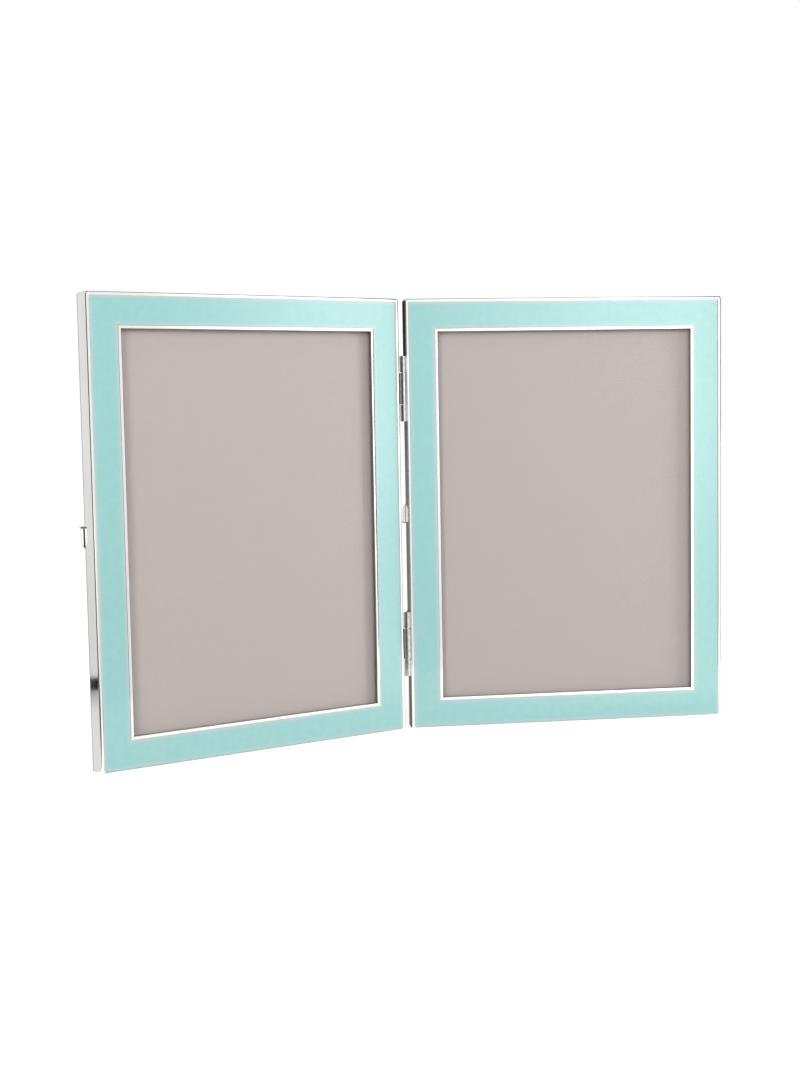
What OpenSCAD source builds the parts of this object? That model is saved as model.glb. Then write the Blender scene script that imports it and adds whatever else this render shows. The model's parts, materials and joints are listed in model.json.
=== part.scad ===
// Hinged pair of metal picture frames with an enamelled band, glass fronts and
// lift-out velvet backs. Two small barrel hinges join the frames, so that they
// stand as a V, open flat or fold shut face to face. Millimetres, +Z is up, the
// pictures face -Y, and the origin is the bottom centre of the whole object.

/* [Picture] */
// Width of the picture that each frame takes
photo_w = 127; // [90:1:203]
// Height of the picture that each frame takes
photo_h = 178; // [127:1:254]
// How far the metal front laps over each edge of the picture
lap = 2.5; // [1.5:0.1:4]

/* [Metal frame] */
// Width of the front border, from the window to the outer side
border_w = 15.2; // [14.6:0.1:24]
// Depth of the metal shell, front to back
shell_depth = 10.4; // [9.8:0.1:14]
// Thickness of the front plate, which the glass lies against
plate_t = 1.9; // [1.6:0.1:2.4]
// Thickness of the side walls
wall_t = 1.2; // [0.8:0.1:1.6]
// Radius of the four outline corners, seen from the front
corner_r = 1; // [0.6:0.1:3]
// Radius along the outer front and rear edges
edge_r = 0.6; // [0.3:0.1:0.9]
// How far the contents stop short of the shell's rear edge
rear_recess = 0.1; // [0.05:0.05:0.3]

/* [Enamel] */
// Width of the bare metal rim outside the enamel
outer_rim_w = 1.4; // [0.8:0.1:2.4]
// Width of the bare metal rim between the enamel and the window
inner_rim_w = 1.4; // [0.8:0.1:2.4]
// Depth of the tray that holds the enamel
tray_depth = 0.9; // [0.5:0.1:1.2]
// How far the enamel's surface lies below the rims
enamel_drop = 0.08; // [0.04:0.02:0.2]
// Radius of the enamel's outer corners
enamel_corner_r = 0.6; // [0.3:0.1:2]

/* [Contents] */
// Thickness of the glass
glass_t = 2; // [1.5:0.1:2.5]
// Thickness of the insert card
card_t = 0.3; // [0.2:0.05:0.5]
// Thickness of the back board
back_t = 3.6; // [2.5:0.1:4]
// Thickness of the velvet on the back and on the rear border
velvet_t = 0.5; // [0.3:0.1:0.8]
// Gap between the contents and the core's opening on each side
rebate_gap = 0.5; // [0.2:0.1:0.8]

/* [Hinges] */
// Angle between the two fronts as the frames stand
open_angle = 155; // [120:1:178]
// Gap between the two side walls when the frames lie open flat
hinge_gap = 3.1; // [2.8:0.1:4]
// How far the hinge axis lies in front of the fronts
axis_front = 0.5; // [0.4:0.1:1]
// Distance from each end of the frame to the nearest hinge
hinge_inset = 26.4; // [15:0.1:34]
// Length of each of the two end knuckles
end_knuckle_l = 7.65; // [5:0.05:10]
// Length of the middle knuckle
mid_knuckle_l = 14.5; // [10:0.1:20]
// Gap between neighbouring knuckles
knuckle_gap = 0.3; // [0.2:0.05:0.5]
// Diameter of the hinge pin
pin_d = 1.5; // [1:0.1:1.8]
// Running clearance around the pin, on the radius
pin_clear = 0.05; // [0.02:0.01:0.08]
// Thickness of the hinge leaves
leaf_t = 0.5; // [0.4:0.05:0.6]
// Depth of the leaf plates along the side walls
leaf_plate_l = 7; // [5:0.1:7.3]
// Diameter of the leaf rivets' shanks
rivet_d = 1.2; // [0.8:0.1:1.6]
// Diameter of the leaf rivets' heads
rivet_head_d = 2.4; // [2:0.1:3]
// Height of the leaf rivets' heads
rivet_head_t = 0.4; // [0.25:0.05:0.5]
// How far each rivet's shank goes past the leaf
rivet_grip_l = 3.4; // [2:0.1:5]

/* [Turn clips] */
// Distance from the back board's edge to each clip's pivot
pivot_to_board = 5.8; // [5.3:0.1:6.3]
// Distance from the pivot to the end of the arm
clip_arm_l = 14; // [11:0.1:18]
// Half of the arm's width, and the distance from the pivot to the square end
clip_half_w = 3.6; // [3:0.1:4.2]
// How far the clip's heel stands out past the side wall
clip_overhang = 1.3; // [0.6:0.1:1.4]
// Distance from the pivot to the round end of the heel
clip_heel_l = 6.8; // [5.6:0.1:7]
// Width of the heel, across the frame's side
clip_heel_w = 9; // [8:0.1:9.6]
// Thickness of the clip's plate
clip_t = 0.8; // [0.5:0.1:1.2]
// Gap between the clip and the shell's rear edge
clip_lift = 0.2; // [0.15:0.05:0.3]
// Height of the finger lip that stands up from the plate
clip_lip_h = 2; // [1:0.1:3]
// Length of the finger lip along the square end
clip_lip_l = 5; // [3:0.1:5.2]
// Diameter of the clip screws' shanks
screw_d = 2.4; // [2:0.1:2.8]
// Diameter of the clip screws' heads
screw_head_d = 5; // [4.4:0.1:5.6]
// Height of the clip screws' heads
screw_head_t = 1.3; // [1:0.1:1.6]
// Gap between each clip and the head of its screw
screw_play = 0.12; // [0.08:0.02:0.2]
// How far each screw goes into the core
screw_grip_l = 5; // [3:0.1:6]

/* [Hidden] */

// Each frame is drawn with its hinge side at x = 0, its front at y = 0 and its
// foot at z = 0, and is then turned about the hinge axis into its place.
window_w = photo_w - 2 * lap;
window_h = photo_h - 2 * lap;
frame_w = window_w + 2 * border_w;
frame_h = window_h + 2 * border_w;
rebate_w = photo_w + 2 * rebate_gap;
rebate_h = photo_h + 2 * rebate_gap;
rebate_inset = (frame_w - rebate_w) / 2;
photo_inset = (frame_w - photo_w) / 2;
half_turn = (180 - open_angle) / 2;

// Depth at which each layer starts, counted from the front
contents_end = shell_depth - rear_recess;
card_y = plate_t + glass_t;
filler_y = card_y + card_t;
velvet_y = contents_end - velvet_t;
back_y = velvet_y - back_t;
filler_t = back_y - filler_y;
clip_y = shell_depth + clip_lift;
clip_end_y = clip_y + clip_t;

// Hinge sizes that follow from the gap between the walls
knuckle_wall_clear = 0.05;
knuckle_r = hinge_gap / 2 - knuckle_wall_clear;
swing_clear = 0.3;
leaf_start_y = knuckle_r + swing_clear - axis_front;
strap_start_y = sqrt(pow(knuckle_r, 2) - pow(hinge_gap / 2 - leaf_t / 2, 2)) - axis_front;
hinge_l = 2 * end_knuckle_l + mid_knuckle_l + 2 * knuckle_gap;
lower_hinge_z = hinge_inset;
upper_hinge_z = frame_h - hinge_inset - hinge_l;
rivet_inset = end_knuckle_l / 2;
fixed_fit = 0.02;

// Clip sizes
clip_inset = photo_inset - pivot_to_board;
clip_z = frame_h / 2;
clip_heel_r = clip_heel_w / 2;
clip_bore_r = screw_d / 2 + pin_clear;
screw_dome_share = 0.6;
screw_slot_w = 0.8;
screw_slot_depth = 0.6;

// Where the hinge axis lies, so that the origin is the middle of the box
front_reach = (frame_w - edge_r + hinge_gap / 2) * sin(half_turn)
    - (edge_r + axis_front) * cos(half_turn) + edge_r;
lip_end_y = clip_end_y + clip_lip_h;
back_reach = (lip_end_y + axis_front) * cos(half_turn)
    - (hinge_gap / 2 - clip_overhang) * sin(half_turn);
axis_y = (front_reach - back_reach) / 2;

// One cut overruns the surface that it opens by this much
overrun = 1;
arc_steps = 8;
$fn = 48;

// Colours
silver = [0.86, 0.87, 0.87];
bright_steel = [0.76, 0.77, 0.78];
mint = [0.66, 0.85, 0.83];
mdf = [0.62, 0.5, 0.36];
clear_glass = [0.8, 0.9, 0.92, 0.35];
mauve = [0.74, 0.7, 0.68];
grey_board = [0.62, 0.62, 0.6];
charcoal = [0.2, 0.2, 0.22];

// Points of a quarter round, counter-clockwise from an angle
function quarter(centre, r, from) = [
    for (i = [0 : arc_steps])
        centre + r * [cos(from + 90 * i / arc_steps), sin(from + 90 * i / arc_steps)]
];

// Outline of a rectangle with its four corners rounded
function rounded(w, h, r) = concat(
    quarter([r, r], r, 180),
    quarter([w - r, r], r, 270),
    quarter([w - r, h - r], r, 0),
    quarter([r, h - r], r, 90)
);

// Puts a piece that is drawn for the right frame into its place
module on_right() {
    translate([0, axis_y, 0]) rotate([0, 0, -half_turn])
        translate([hinge_gap / 2, axis_front, 0]) children();
}

// The left frame is the mirror image of the right one
module on_left() {
    mirror([1, 0, 0]) on_right() children();
}

// Lifts a hinge's pieces to their place on the side wall
module at_height(z) {
    translate([0, 0, z]) children();
}

// A box set in from the frame's four sides by the same amount, at a depth
module centred_box(inset, y, depth) {
    translate([inset, y, inset])
        cube([frame_w - 2 * inset, depth, frame_h - 2 * inset]);
}

// A flat plate with rounded corners, cut in the plane of the front
module front_plate(inset, y, depth, r) {
    translate([inset, y + depth, inset]) rotate([90, 0, 0]) linear_extrude(depth)
        polygon(rounded(frame_w - 2 * inset, frame_h - 2 * inset, r));
}

// The solid block that the shell is cut from, with all outer edges rounded
module shell_blank() {
    intersection() {
        front_plate(0, 0, shell_depth, corner_r);
        linear_extrude(frame_h) polygon(rounded(frame_w, shell_depth, edge_r));
        rotate([90, 0, 90]) linear_extrude(frame_w)
            polygon(rounded(shell_depth, frame_h, edge_r));
    }
}

// Holes for the leaf rivets, through everything they pass
module rivet_shafts(r) {
    for (hinge_z = [lower_hinge_z, upper_hinge_z])
        for (z = [rivet_inset, hinge_l - rivet_inset])
            translate([-leaf_t, leaf_start_y + leaf_plate_l / 2, hinge_z + z])
                rotate([0, 90, 0]) cylinder(h = leaf_t + rivet_grip_l, r = r);
}

// The plated metal shell: rims, enamel tray, window and side walls in one
module shell() {
    color(silver) difference() {
        shell_blank();
        centred_box(wall_t, plate_t, shell_depth);
        centred_box(border_w, -overrun, plate_t + 2 * overrun);
        difference() {
            front_plate(outer_rim_w, -overrun, tray_depth + overrun, enamel_corner_r);
            centred_box(border_w - inner_rim_w, -2 * overrun, tray_depth + 3 * overrun);
        }
        rivet_shafts(rivet_d / 2 + fixed_fit);
    }
}

// The band of enamel that fills the tray
module enamel() {
    color(mint) difference() {
        front_plate(outer_rim_w, enamel_drop, tray_depth - enamel_drop, enamel_corner_r);
        centred_box(border_w - inner_rim_w, -overrun, tray_depth + 2 * overrun);
    }
}

// Holes for the two clip screws of a frame
module screw_holes(r) {
    for (x = [clip_inset, frame_w - clip_inset])
        translate([x, velvet_y - screw_grip_l, clip_z]) rotate([-90, 0, 0])
            cylinder(h = screw_grip_l + velvet_t + overrun, r = r);
}

// The fibreboard ring that stiffens the shell and holds the contents
module core() {
    color(mdf) difference() {
        centred_box(wall_t, plate_t, velvet_y - plate_t);
        centred_box(rebate_inset, 0, shell_depth);
        screw_holes(screw_d / 2 + fixed_fit);
        rivet_shafts(rivet_d / 2 + fixed_fit);
    }
}

// A sheet of the picture's size, at a depth in the rebate
module sheet(y, thickness) {
    centred_box(photo_inset, y, thickness);
}

module glass() {
    color(clear_glass) sheet(plate_t, glass_t);
}

// The plain insert card, which the picture takes the place of
module card() {
    color(mauve) sheet(card_y, card_t);
}

// The pad that presses the picture against the glass
module filler() {
    color(grey_board) sheet(filler_y, filler_t);
}

module back_board() {
    color(mdf) sheet(back_y, back_t);
}

// The velvet glued over the rear of the back board
module back_velvet() {
    color(charcoal) sheet(velvet_y, velvet_t);
}

// The velvet that covers the rear of the core
module border_velvet() {
    color(charcoal) difference() {
        centred_box(wall_t, velvet_y, velvet_t);
        centred_box(rebate_inset, 0, shell_depth);
        screw_holes(screw_d / 2 + fixed_fit);
    }
}

// A turn clip, drawn with its pivot at the origin, its arm along -X, its heel
// along +X and the round end of its heel along +Z
module turn_clip() {
    heel_x = clip_inset + clip_overhang;
    color(silver) difference() {
        union() {
            translate([-clip_arm_l + clip_half_w, 0, -clip_half_w])
                cube([clip_arm_l - clip_half_w + heel_x, clip_t, 2 * clip_half_w]);
            translate([-clip_arm_l + clip_half_w, 0, 0]) rotate([-90, 0, 0])
                cylinder(h = clip_t, r = clip_half_w);
            translate([heel_x - clip_heel_w, 0, 0])
                cube([clip_heel_w, clip_t, clip_heel_l - clip_heel_r]);
            translate([heel_x - clip_heel_r, 0, clip_heel_l - clip_heel_r])
                rotate([-90, 0, 0]) cylinder(h = clip_t, r = clip_heel_r);
            translate([heel_x - clip_lip_l, 0, -clip_half_w])
                cube([clip_lip_l, clip_t + clip_lip_h, clip_t]);
        }
        translate([0, -overrun, 0]) rotate([-90, 0, 0])
            cylinder(h = clip_t + 2 * overrun, r = clip_bore_r);
    }
}

// The clip on the hinge side has its heel outwards and its square end down
module inner_clip() {
    translate([clip_inset, clip_y, clip_z]) mirror([1, 0, 0]) turn_clip();
}

// The clip on the outer side is the same piece turned half round
module outer_clip() {
    translate([frame_w - clip_inset, clip_y, clip_z]) mirror([0, 0, 1]) turn_clip();
}

// One clip screw, drawn with its axis along Y and its tip in the core
module clip_screw() {
    head_y = clip_end_y + screw_play;
    dome_h = screw_head_t * screw_dome_share;
    dome_r = (pow(screw_head_d / 2, 2) + pow(dome_h, 2)) / (2 * dome_h);
    difference() {
        union() {
            translate([0, velvet_y - screw_grip_l, 0]) rotate([-90, 0, 0])
                cylinder(h = head_y - velvet_y + screw_grip_l, r = screw_d / 2);
            intersection() {
                translate([0, head_y, 0]) rotate([-90, 0, 0])
                    cylinder(h = screw_head_t, r = screw_head_d / 2);
                translate([0, head_y + screw_head_t - dome_r, 0]) sphere(r = dome_r);
            }
        }
        translate([-screw_head_d / 2, head_y + screw_head_t - screw_slot_depth, -screw_slot_w / 2])
            cube([screw_head_d, screw_slot_depth + overrun, screw_slot_w]);
    }
}

// Both clip screws of a frame
module clip_screws() {
    color(bright_steel) for (x = [clip_inset, frame_w - clip_inset])
        translate([x, 0, clip_z]) clip_screw();
}

// A hinge leaf: a plate on the side wall, and for each knuckle, given as its
// start and length, a strap and a barrel with a bore
module leaf(knuckles, bore_r) {
    color(bright_steel) difference() {
        union() {
            translate([-leaf_t, leaf_start_y, 0]) cube([leaf_t, leaf_plate_l, hinge_l]);
            for (k = knuckles) {
                translate([-leaf_t, strap_start_y, k[0]])
                    cube([leaf_t, leaf_start_y - strap_start_y, k[1]]);
                translate([-hinge_gap / 2, -axis_front, k[0]])
                    cylinder(h = k[1], r = knuckle_r);
            }
        }
        translate([-hinge_gap / 2, -axis_front, -overrun])
            cylinder(h = hinge_l + 2 * overrun, r = bore_r);
        for (z = [rivet_inset, hinge_l - rivet_inset])
            translate([-leaf_t - overrun, leaf_start_y + leaf_plate_l / 2, z])
                rotate([0, 90, 0]) cylinder(h = leaf_t + 2 * overrun, r = rivet_d / 2 + fixed_fit);
    }
}

// The right leaves carry the two end knuckles, which grip the pin
module two_knuckle_leaf() {
    leaf([[0, end_knuckle_l], [hinge_l - end_knuckle_l, end_knuckle_l]], pin_d / 2 + fixed_fit);
}

// The left leaves carry the middle knuckle, which turns on the pin
module one_knuckle_leaf() {
    leaf([[end_knuckle_l + knuckle_gap, mid_knuckle_l]], pin_d / 2 + pin_clear);
}

// A hinge pin, flush with the ends of its barrel
module hinge_pin() {
    color(silver) translate([-hinge_gap / 2, -axis_front, 0])
        cylinder(h = hinge_l, r = pin_d / 2);
}

// The four rivets that hold a frame's two leaves
module leaf_rivets() {
    color(silver) union() {
        rivet_shafts(rivet_d / 2);
        for (hinge_z = [lower_hinge_z, upper_hinge_z])
            for (z = [rivet_inset, hinge_l - rivet_inset])
                translate([-leaf_t - rivet_head_t, leaf_start_y + leaf_plate_l / 2, hinge_z + z])
                    rotate([0, 90, 0]) cylinder(h = rivet_head_t, r = rivet_head_d / 2);
    }
}

on_right() shell();  // shell_right
on_right() enamel();  // enamel_right
on_right() core();  // core_right
on_right() glass();  // glass_right
on_right() card();  // card_right
on_right() filler();  // filler_right
on_right() back_board();  // back_board_right
on_right() back_velvet();  // back_velvet_right
on_right() border_velvet();  // border_velvet_right
on_right() inner_clip();  // inner_clip_right
on_right() outer_clip();  // outer_clip_right
on_right() clip_screws();  // clip_screws_right
on_left() shell();  // shell_left
on_left() enamel();  // enamel_left
on_left() core();  // core_left
on_left() glass();  // glass_left
on_left() card();  // card_left
on_left() filler();  // filler_left
on_left() back_board();  // back_board_left
on_left() back_velvet();  // back_velvet_left
on_left() border_velvet();  // border_velvet_left
on_left() inner_clip();  // inner_clip_left
on_left() outer_clip();  // outer_clip_left
on_left() clip_screws();  // clip_screws_left
on_right() at_height(upper_hinge_z) two_knuckle_leaf();  // upper_leaf_right
on_right() at_height(lower_hinge_z) two_knuckle_leaf();  // lower_leaf_right
on_left() at_height(upper_hinge_z) one_knuckle_leaf();  // upper_leaf_left
on_left() at_height(lower_hinge_z) one_knuckle_leaf();  // lower_leaf_left
on_right() at_height(upper_hinge_z) hinge_pin();  // upper_hinge_pin
on_right() at_height(lower_hinge_z) hinge_pin();  // lower_hinge_pin
on_right() leaf_rivets();  // leaf_rivets_right
on_left() leaf_rivets();  // leaf_rivets_left
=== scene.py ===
import json
import math

import bmesh
import bpy
from mathutils import Matrix, Vector


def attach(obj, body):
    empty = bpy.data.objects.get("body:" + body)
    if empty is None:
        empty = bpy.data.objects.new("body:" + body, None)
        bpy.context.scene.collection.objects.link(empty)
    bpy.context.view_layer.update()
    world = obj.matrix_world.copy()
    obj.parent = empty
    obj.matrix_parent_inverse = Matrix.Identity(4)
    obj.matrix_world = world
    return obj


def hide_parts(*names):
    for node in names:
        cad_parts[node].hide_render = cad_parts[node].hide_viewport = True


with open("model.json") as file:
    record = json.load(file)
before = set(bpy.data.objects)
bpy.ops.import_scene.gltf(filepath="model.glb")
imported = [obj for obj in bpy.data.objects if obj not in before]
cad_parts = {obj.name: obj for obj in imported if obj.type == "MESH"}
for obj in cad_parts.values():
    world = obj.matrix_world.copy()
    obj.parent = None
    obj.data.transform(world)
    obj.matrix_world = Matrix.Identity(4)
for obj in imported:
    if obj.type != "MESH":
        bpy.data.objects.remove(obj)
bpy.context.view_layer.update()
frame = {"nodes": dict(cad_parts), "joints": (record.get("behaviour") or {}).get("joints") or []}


# The camera stands to the left and looks slightly down, as the photograph does:
# both fronts show, and so does the outer side wall of the left frame.
camera_place = Vector((-0.24633, -0.66774, 0.15378))
camera_right = Vector((0.94041, -0.33958, -0.01762))
camera_up = Vector((0.04457, 0.07172, 0.99643))
camera_sensor_mm = 36
camera_lens_mm = 51.891
nearest_seen = 0.01

camera_data = bpy.data.cameras.new("camera")
camera_data.sensor_width = camera_sensor_mm
camera_data.lens = camera_lens_mm
camera_data.clip_start = nearest_seen
camera = bpy.data.objects.new("camera", camera_data)
bpy.context.scene.collection.objects.link(camera)
camera.matrix_world = Matrix.Translation(camera_place) @ Matrix(
    (camera_right, camera_up, camera_right.cross(camera_up))).transposed().to_4x4()
bpy.context.scene.camera = camera


# The studio is a pale floor under a tent. To a camera the tent is plain white, and
# its soft light is even. Gloss sees it bright in front, paler behind, dark at the
# sides and right overhead, so that the polished metal gets its light and dark bands.
class Socket:
    """A socket's value in a node tree, with operators that add Math nodes."""

    def __init__(self, tree, out=None):
        self.tree = tree
        self.out = out

    def node(self, kind, settings=None, values=None, output=0):
        made = self.tree.nodes.new(kind)
        for key, setting in (settings or {}).items():
            setattr(made, key, setting)
        for key, value in (values or {}).items():
            if isinstance(value, Socket):
                self.tree.links.new(value.out, made.inputs[key])
            else:
                made.inputs[key].default_value = value
        return Socket(self.tree, made.outputs[output])

    def math(self, operation, *values):
        return self.node("ShaderNodeMath", {"operation": operation}, dict(enumerate(values)))

    def __add__(self, other):
        return self.math("ADD", self, other)

    def __radd__(self, other):
        return self.math("ADD", other, self)

    def __sub__(self, other):
        return self.math("SUBTRACT", self, other)

    def __rsub__(self, other):
        return self.math("SUBTRACT", other, self)

    def __mul__(self, other):
        return self.math("MULTIPLY", self, other)

    def __rmul__(self, other):
        return self.math("MULTIPLY", other, self)

    def smooth(self, low, high, to_low=0.0, to_high=1.0):
        """Runs smoothly from to_low at low to to_high at high, and is flat outside."""
        return self.node("ShaderNodeMapRange", {"interpolation_type": "SMOOTHSTEP"},
                         {"Value": self, "From Min": low, "From Max": high,
                          "To Min": to_low, "To Max": to_high})

    def part(self, index):
        return self.node("ShaderNodeSeparateXYZ", {}, {"Vector": self}, index)

    def blend(self, first, second):
        """The colour between two colours, with this value as the share of the second."""
        return self.node("ShaderNodeMix", {"data_type": "RGBA"}, {0: self, 6: first, 7: second}, 2)


backdrop_white = (1, 1, 1, 1)
tent_soft = 0.5
front_glow = 1.0
side_glow = 0.08
back_glow = 0.72
upper_glow = 0.7
zenith_glow = 0.0

# The zones run into each other softly, between two values of a part of the heading.
front_edge = (-0.75, -0.35)
front_left_edge = (-0.5, -0.2)
back_edge = (0.3, 0.7)
upper_edge = (0.15, 0.4)
zenith_edge = (0.62, 0.78)
zenith_back_edge = (0.36, 0.48)

studio = bpy.data.worlds.new("studio")
studio.use_nodes = True
bpy.context.scene.world = studio
tent = Socket(studio.node_tree)
heading = tent.node("ShaderNodeTexCoord", {}, {}, "Generated")
in_front = (heading.part(1).smooth(*front_edge, 1.0, 0.0)
            * heading.part(0).smooth(*front_left_edge))
behind = heading.part(1).smooth(*back_edge)
around = side_glow + in_front * (front_glow - side_glow) + behind * (back_glow - side_glow)
raised_up = heading.part(2).smooth(*upper_edge)
at_zenith = (heading.part(2).smooth(*zenith_edge)
             * heading.part(1).smooth(*zenith_back_edge, 1.0, 0.0))
upper = upper_glow + at_zenith * (zenith_glow - upper_glow)
in_gloss = around + raised_up * (upper - around)
light_path = tent.node("ShaderNodeLightPath", {}, {}, "Is Glossy Ray")
tent_glow = tent_soft + light_path * (in_gloss - tent_soft)
seen_directly = tent.node("ShaderNodeLightPath", {}, {}, "Is Camera Ray")
tent_strength = tent_glow + seen_directly * (1.0 - tent_glow)
backdrop = studio.node_tree.nodes["Background"]
backdrop.inputs["Color"].default_value = backdrop_white
studio.node_tree.links.new(tent_strength.out, backdrop.inputs["Strength"])
bpy.context.scene.view_settings.view_transform = "Standard"


# The floor is two sheets: a pale one that the camera and gloss see, and a grey one
# just below it that takes and returns the soft light.
floor_reach = 6.0
floor_pale = (0.55, 0.55, 0.55, 1)
floor_glow = 0.74
floor_grey = (0.68, 0.68, 0.68, 1)
floor_step = 0.0004
sheet_roughness = 0.8
sheet_gloss = 0.1


def stage_sheet(name, corners, colour, glow=0.0):
    """A flat sheet of the set. Its glow is one value, or a function of the place on it."""
    mesh = bpy.data.meshes.new(name)
    mesh.from_pydata(corners, [], [tuple(range(len(corners)))])
    paint = bpy.data.materials.new(name + "_paint")
    paint.use_nodes = True
    shader = paint.node_tree.nodes["Principled BSDF"]
    shader.inputs["Base Color"].default_value = colour
    shader.inputs["Roughness"].default_value = sheet_roughness
    shader.inputs["Specular IOR Level"].default_value = sheet_gloss
    shader.inputs["Emission Color"].default_value = backdrop_white
    shader.inputs["Emission Strength"].default_value = 1.0
    if callable(glow):
        place = Socket(paint.node_tree).node("ShaderNodeTexCoord", {}, {}, "Object")
        paint.node_tree.links.new(glow(place).out, shader.inputs["Emission Color"])
    else:
        shader.inputs["Emission Strength"].default_value = glow
    mesh.materials.append(paint)
    sheet = bpy.data.objects.new(name, mesh)
    bpy.context.scene.collection.objects.link(sheet)
    return sheet


floor_corners = [(x * floor_reach, y * floor_reach, 0)
                 for x, y in ((-1, -1), (1, -1), (1, 1), (-1, 1))]
pale_floor = stage_sheet("pale_floor", floor_corners, floor_pale, floor_glow)
pale_floor.visible_diffuse = False
grey_floor = stage_sheet(
    "grey_floor", [(x, y, -floor_step) for x, y, z in floor_corners], floor_grey)
grey_floor.visible_camera = False
grey_floor.visible_glossy = False


# Cards and flags stand round a polished thing to give its metal something to mirror,
# and gloss alone sees these. The fronts mirror a card that glows most up and to the
# right, a flag beside it, and the floor before it.
flag_black = (0.004, 0.004, 0.004, 1)
sheet_step = 0.0005
front_y = -0.16
front_top = 0.5
front_card_x = (-0.07, 0.166)
front_flag_x = (0.166, 0.35)
front_foot_outline = [(-0.07, front_y), (0.26, front_y), (0.2, 0.012), (-0.152, 0.012),
                      (-0.152, -0.06)]
card_low_glow = 0.8
card_high_glow = 0.12
card_right_glow = 1.48
card_foot_share = 0.57
card_rightward = (-0.04, 0.15)
card_upward = (0.03, 0.16)
flag_edge = (0.175, 0.235)
flag_edge_glow = (0.02, 0.75)
foot_glow = 1.1
foot_right_glow = 0.45
foot_away = (0.01, 0.06)
fronts_slope = 0.22


def mirrored_sheet(name, corners, glow=0.0):
    """A black sheet with a glow of its own, that shows in reflections alone."""
    sheet = stage_sheet(name, corners, flag_black, glow)
    sheet.visible_camera = False
    sheet.visible_diffuse = False
    sheet.visible_shadow = False


def upright(start, end, low, high):
    """Corners of a sheet that stands between two points of the floor plan."""
    return [(*start, low), (*end, low), (*end, high), (*start, high)]


def on_floor(points):
    return [(x, y, sheet_step) for x, y in points]


def facing_front(span):
    return upright((span[0], front_y), (span[1], front_y), 0, front_top)


def front_card_glow(place):
    rightward = place.part(0).smooth(*card_rightward)
    upward = place.part(2).smooth(*card_upward)
    return (card_low_glow + upward * card_high_glow
            + rightward * (card_foot_share + upward * (1 - card_foot_share)) * card_right_glow)


def front_flag_glow(place):
    return place.part(0).smooth(*flag_edge, *flag_edge_glow)


def front_foot_glow(place):
    from_hinge = place.math("ABSOLUTE", place.part(0))
    in_front = -fronts_slope * from_hinge - place.part(1)
    away = in_front.smooth(*foot_away)
    return foot_glow + place.part(0).smooth(*card_rightward) * away * foot_right_glow


mirrored_sheet("front_card", facing_front(front_card_x), front_card_glow)
mirrored_sheet("front_flag", facing_front(front_flag_x), front_flag_glow)
mirrored_sheet("front_foot", on_floor(front_foot_outline), front_foot_glow)


# The outer wall of the left frame mirrors a grey card behind it, which has a black
# base and its own foot on the floor. The floor to the left of that is a dark flag.
side_start = (-0.362, 0.081)
side_end = (-0.162, 0.2135)
side_base_top = 0.0077
side_top = 0.6
side_foot_front = [(-0.195, -0.0445), (-0.112, 0.0105)]
left_flag_outline = [(-0.157, -0.03), side_foot_front[0], side_start, (-6, 3.3), (-6, -6),
                     (-2.2, -6), (-0.07, front_y), (-0.152, -0.06)]
side_card_fade, side_card_glows = (0.0, 0.15), (0.7, 0.785)
side_foot_fade, side_foot_glows = (0.087, 0.154), (0.74, 0.37)
left_flag_glow = 0.12


def side_card_glow(place):
    return place.part(2).smooth(*side_card_fade, *side_card_glows)


def side_foot_glow(place):
    return place.part(1).smooth(*side_foot_fade, *side_foot_glows)


mirrored_sheet("side_card", upright(side_start, side_end, side_base_top, side_top),
               side_card_glow)
mirrored_sheet("side_card_base", upright(side_start, side_end, 0, side_base_top))
mirrored_sheet("side_foot", on_floor(side_foot_front + [side_end, side_start]), side_foot_glow)
mirrored_sheet("left_flag", on_floor(left_flag_outline), left_flag_glow)


# A dark flag stands behind the gap between the frames, with its foot on the floor.
# It is grey at its left edge, and again above, where raised views mirror it.
gap_flag_y = 0.2
gap_flag_x = (-0.158, 0.25)
gap_flag_top = 0.6
gap_foot_outline = [(-0.1, 0.013), (0.2, 0.013), (0.25, gap_flag_y), (-0.15, gap_flag_y)]
gap_low_fade, gap_low_glows = (0.1, 0.19), (0.17, 0.015)
gap_top_fade, gap_top_glows = (0.25, 0.36), (0.0, 0.35)
gap_left_fade, gap_left_glows = (-0.06, -0.03), (0.25, 0.0)
gap_foot_glow = 0.14


def gap_flag_glow(place):
    return (place.part(2).smooth(*gap_low_fade, *gap_low_glows)
            + place.part(2).smooth(*gap_top_fade, *gap_top_glows)
            + place.part(0).smooth(*gap_left_fade, *gap_left_glows))


mirrored_sheet("gap_flag", upright((gap_flag_x[0], gap_flag_y), (gap_flag_x[1], gap_flag_y), 0,
                                   gap_flag_top), gap_flag_glow)
mirrored_sheet("gap_flag_foot", on_floor(gap_foot_outline), gap_foot_glow)


# Three softboxes light the set: a wide key from the front and above, and two small
# ones that fill the fronts from the right and from the left.
key_place = (-0.4, -1.7, 0.85)
key_watts = 13.0
key_size = (1.6, 0.8)
side_place = (0.6, -0.35, 0.2)
side_watts = 2.0
side_size = (0.3, 0.5)
left_place = (-0.75, -0.75, 0.3)
left_watts = 2.4
left_size = (0.2, 0.35)
frames_middle = (0, 0, 0.1)


def softbox(name, place, watts, size, aim):
    """A lamp with a face of the given size, that no camera and no gloss sees."""
    light = bpy.data.lights.new(name, "AREA")
    light.shape = "RECTANGLE"
    light.size, light.size_y = size
    light.energy = watts
    lamp = bpy.data.objects.new(name, light)
    bpy.context.scene.collection.objects.link(lamp)
    towards = Vector(aim) - Vector(place)
    lamp.matrix_world = Matrix.Translation(place) @ towards.to_track_quat(
        "-Z", "Y").to_matrix().to_4x4()
    lamp.visible_camera = False
    lamp.visible_glossy = False


softbox("key_light", key_place, key_watts, key_size, frames_middle)
softbox("side_light", side_place, side_watts, side_size, frames_middle)
softbox("left_light", left_place, left_watts, left_size, frames_middle)


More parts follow.
